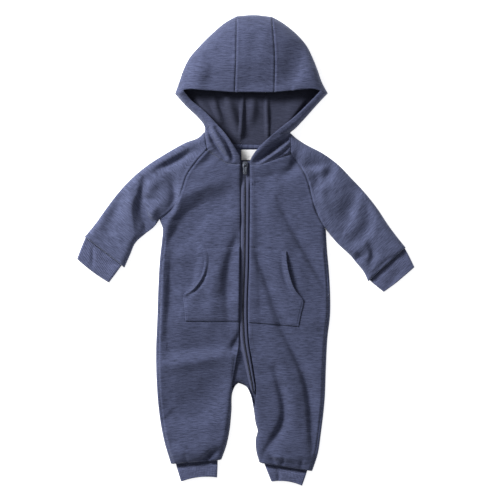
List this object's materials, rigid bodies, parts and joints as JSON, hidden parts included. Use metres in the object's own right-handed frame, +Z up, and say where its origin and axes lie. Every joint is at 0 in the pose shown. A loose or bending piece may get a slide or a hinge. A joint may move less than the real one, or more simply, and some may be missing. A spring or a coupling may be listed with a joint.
{
  "type": "hooded zip coverall",
  "caption": "Hooded one-piece baby coverall in brushed knit, laid out flat on its back: long sleeves and legs, ribbed cuffs, front pocket, neck-to-thigh zip.",
  "frame": {"origin": "centre of the bounding box, on the surface the garment lies on", "axes": "+Y from the crotch to the hood, +X toward the right of someone looking at the front, +Z up out of the surface, out of the garment's front"},
  "size_m": [0.568, 0.792, 0.0396],
  "materials": {
    "fleece": "brushed knit, heathered slate blue, matt",
    "rib_knit": "ribbed knit in the same blue",
    "zip_tape": "woven tape, darker blue",
    "zip_coil": "nylon coil, dark blue",
    "metal": "grey-blue coated zip slider and pull",
    "label": "white woven label, bare"
  },
  "bodies": {
    "garment": {"back_left": "fleece", "back_right": "fleece", "front_left": "fleece", "front_right": "fleece", "crotch_gusset": "fleece", "sleeve_left": "fleece", "sleeve_right": "fleece", "hood_left": "fleece", "hood_right": "fleece", "hood_centre": "fleece", "pocket_left": "fleece", "pocket_right": "fleece", "neck_tape": "fleece", "sleeve_cuff_left": "rib_knit", "sleeve_cuff_right": "rib_knit", "ankle_cuff_left": "rib_knit", "ankle_cuff_right": "rib_knit", "neck_label": "label", "zip_tape_left": "zip_tape", "zip_tape_right": "zip_tape", "zip_chain": "zip_coil", "zip_slider": "metal"},
    "pull_tab": {"pull_tab": "metal"}
  },
  "joints": [
    {"name": "pull_tab_hinge", "type": "hinge", "parent": "garment", "child": "pull_tab", "pos_m": [-0.001, 0.144, 0.01025], "axis": [-1, 0, 0], "range_deg": [0, 150]}
  ]
}
